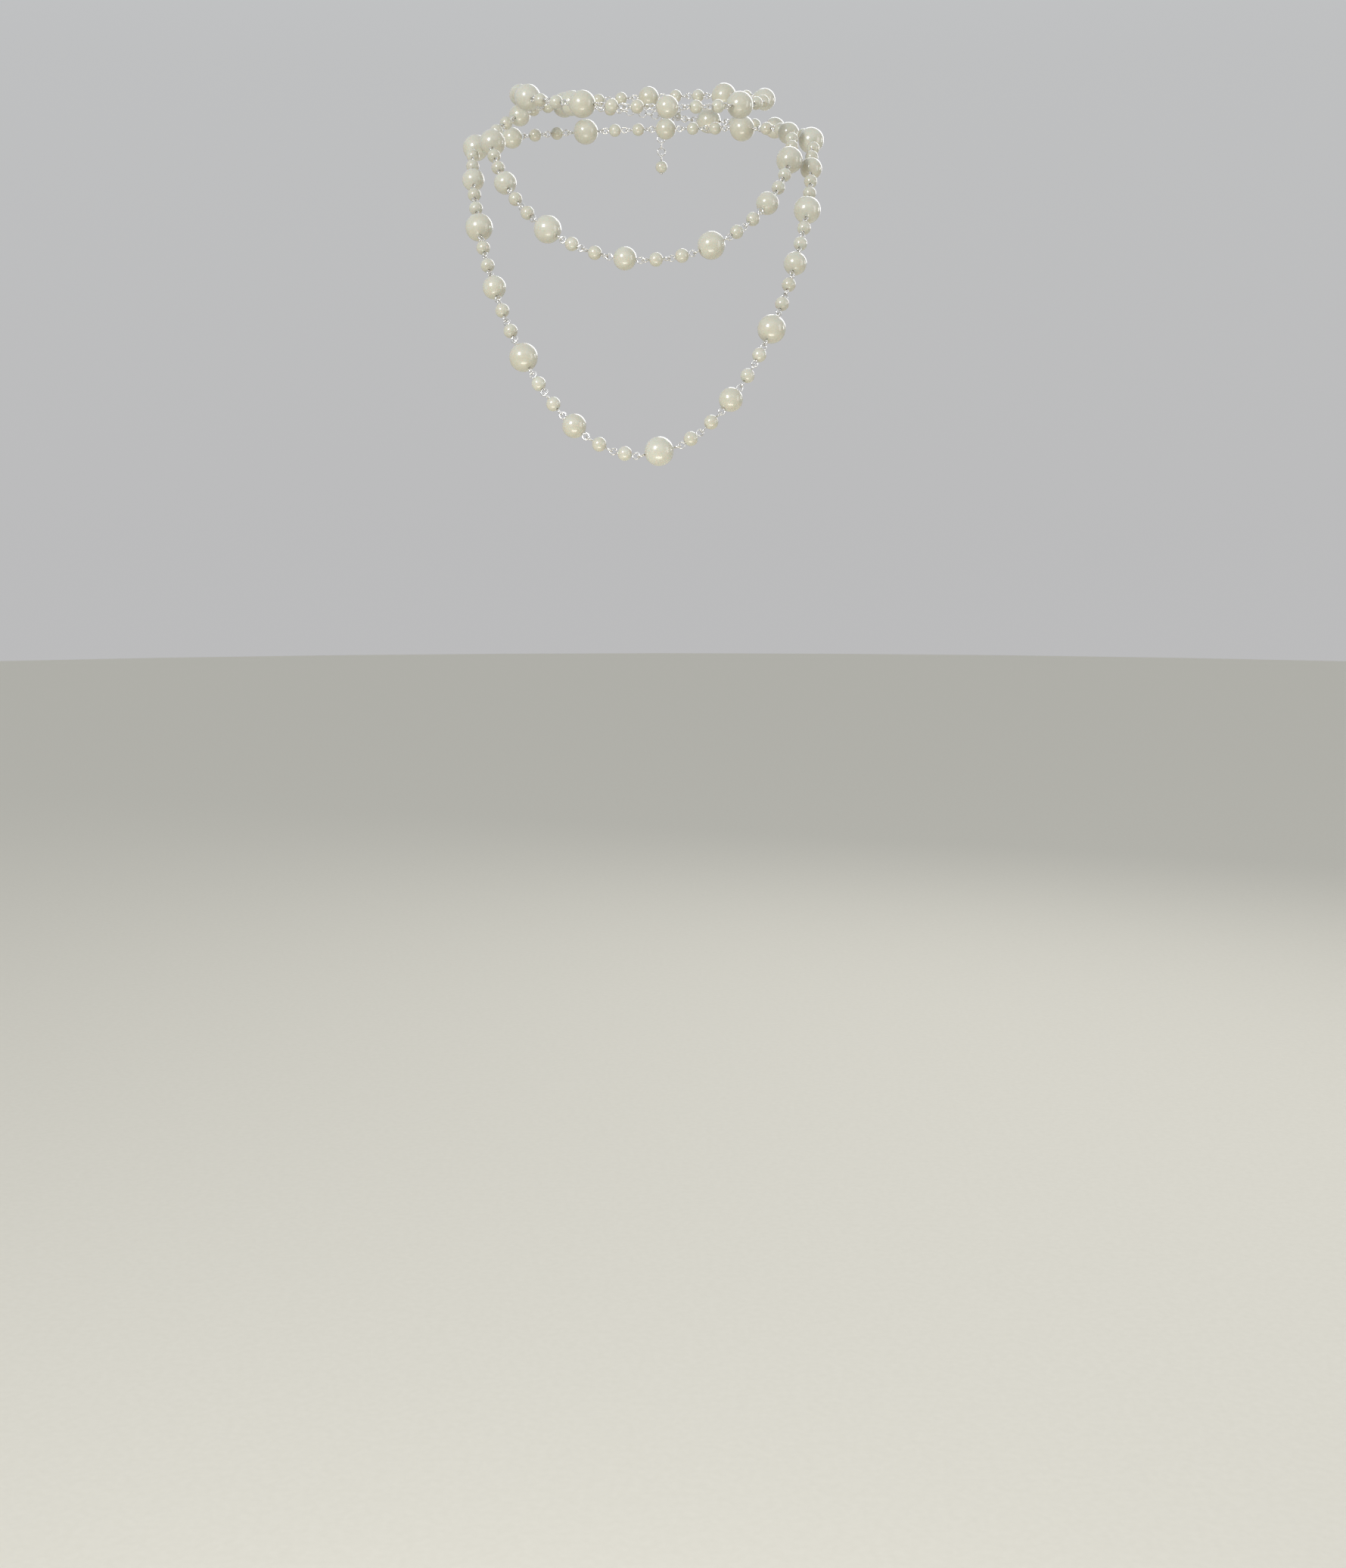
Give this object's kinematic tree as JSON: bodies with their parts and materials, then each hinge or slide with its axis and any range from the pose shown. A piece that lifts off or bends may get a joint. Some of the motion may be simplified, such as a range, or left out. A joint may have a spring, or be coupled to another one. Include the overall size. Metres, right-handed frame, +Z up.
{
  "type": "pearl rope necklace",
  "caption": "Long rope of ivory pearls on linked wire eye pins, wound round the neck as a choker and longer chest turns, closed at the nape by a lobster clasp and an extender.",
  "frame": {"origin": "the middle of the wearer's nape, on the first run behind the neck", "axes": "+X to the viewer's right when seen from the front, -Y to the wearer's front, +Z up"},
  "size_m": [0.1681, 0.2126, 0.1888],
  "materials": {
    "pearl": "ivory nacre, lustrous",
    "wire": "polished silver plate"
  },
  "bodies": {
    "nape": {"clasp_run_pearls": "pearl", "clasp_run_eye_pins": "wire", "nape_run_1_pearls": "pearl", "nape_run_1_eye_pins": "wire", "nape_run_2_pearls": "pearl", "nape_run_2_eye_pins": "wire", "nape_run_3_pearls": "pearl", "nape_run_3_eye_pins": "wire", "clasp_frame": "wire", "clasp_rivet": "wire", "clasp_jump_ring": "wire", "extender_jump_ring": "wire", "extender_links": "wire"},
    "choker_front": {"choker_front_pearls": "pearl", "choker_front_eye_pins": "wire"},
    "second_turn_upper": {"second_turn_upper_pearls": "pearl", "second_turn_upper_eye_pins": "wire"},
    "second_turn_middle": {"second_turn_middle_pearls": "pearl", "second_turn_middle_eye_pins": "wire"},
    "second_turn_lower": {"second_turn_lower_pearls": "pearl", "second_turn_lower_eye_pins": "wire"},
    "third_turn_a": {"third_turn_a_pearls": "pearl", "third_turn_a_eye_pins": "wire"},
    "third_turn_b": {"third_turn_b_pearls": "pearl", "third_turn_b_eye_pins": "wire"},
    "third_turn_c": {"third_turn_c_pearls": "pearl", "third_turn_c_eye_pins": "wire"},
    "third_turn_d": {"third_turn_d_pearls": "pearl", "third_turn_d_eye_pins": "wire"},
    "third_turn_e": {"third_turn_e_pearls": "pearl", "third_turn_e_eye_pins": "wire"},
    "clasp_lever": {"clasp_lever": "wire"},
    "extender_tail": {"tail_links": "wire", "tail_pearl": "pearl", "tail_head_pin": "wire"}
  },
  "joints": [
    {"name": "choker_lift", "type": "hinge", "parent": "nape", "child": "choker_front", "pos_m": [0.00051, -0.05387, -0.01186], "axis": [-0.9986, -0.0519, 0.0079], "range_deg": [0, 30]},
    {"name": "second_turn_swing_1", "type": "hinge", "parent": "nape", "child": "second_turn_upper", "pos_m": [0.00008, -0.07533, -0.03947], "axis": [-0.9995, -0.0326, -0.0025], "range_deg": [0, 20]},
    {"name": "second_turn_swing_2", "type": "hinge", "parent": "second_turn_upper", "child": "second_turn_middle", "pos_m": [0.00061, -0.10504, -0.06294], "axis": [-0.9998, -0.019, 0.0049], "range_deg": [0, 20]},
    {"name": "second_turn_swing_3", "type": "hinge", "parent": "second_turn_middle", "child": "second_turn_lower", "pos_m": [0.00177, -0.1275, -0.08556], "axis": [-0.9995, -0.0287, -0.0094], "range_deg": [0, 20]},
    {"name": "third_turn_swing_1", "type": "hinge", "parent": "nape", "child": "third_turn_a", "pos_m": [0.00056, -0.07402, -0.04617], "axis": [-0.9933, -0.1054, -0.0472], "range_deg": [0, 15]},
    {"name": "third_turn_swing_2", "type": "hinge", "parent": "third_turn_a", "child": "third_turn_b", "pos_m": [0.00127, -0.10438, -0.06897], "axis": [-0.993, -0.1, -0.0624], "range_deg": [0, 15]},
    {"name": "third_turn_swing_3", "type": "hinge", "parent": "third_turn_b", "child": "third_turn_c", "pos_m": [0.00214, -0.13263, -0.09656], "axis": [-0.9921, -0.0931, -0.0837], "range_deg": [0, 20]},
    {"name": "third_turn_swing_4", "type": "hinge", "parent": "third_turn_c", "child": "third_turn_d", "pos_m": [0.00328, -0.15466, -0.1257], "axis": [-0.9901, -0.0865, -0.1109], "range_deg": [0, 20]},
    {"name": "third_turn_swing_5", "type": "hinge", "parent": "third_turn_d", "child": "third_turn_e", "pos_m": [0.00514, -0.17247, -0.1567], "axis": [-0.9836, -0.0908, -0.1557], "range_deg": [0, 25]},
    {"name": "clasp_lever_press", "type": "hinge", "parent": "nape", "child": "clasp_lever", "pos_m": [0.01624, 0.01843, -0.00544], "axis": [-0.0483, -0.9988, 0], "range_deg": [0, 20], "stiffness_Nm_per_rad": 0.002, "springref_deg": -17.19},
    {"name": "extender_tail_swing", "type": "hinge", "parent": "nape", "child": "extender_tail", "pos_m": [0.0082, 0.02073, -0.0049], "axis": [0.9892, -0.0478, -0.1385], "range_deg": [-10, 50]}
  ]
}
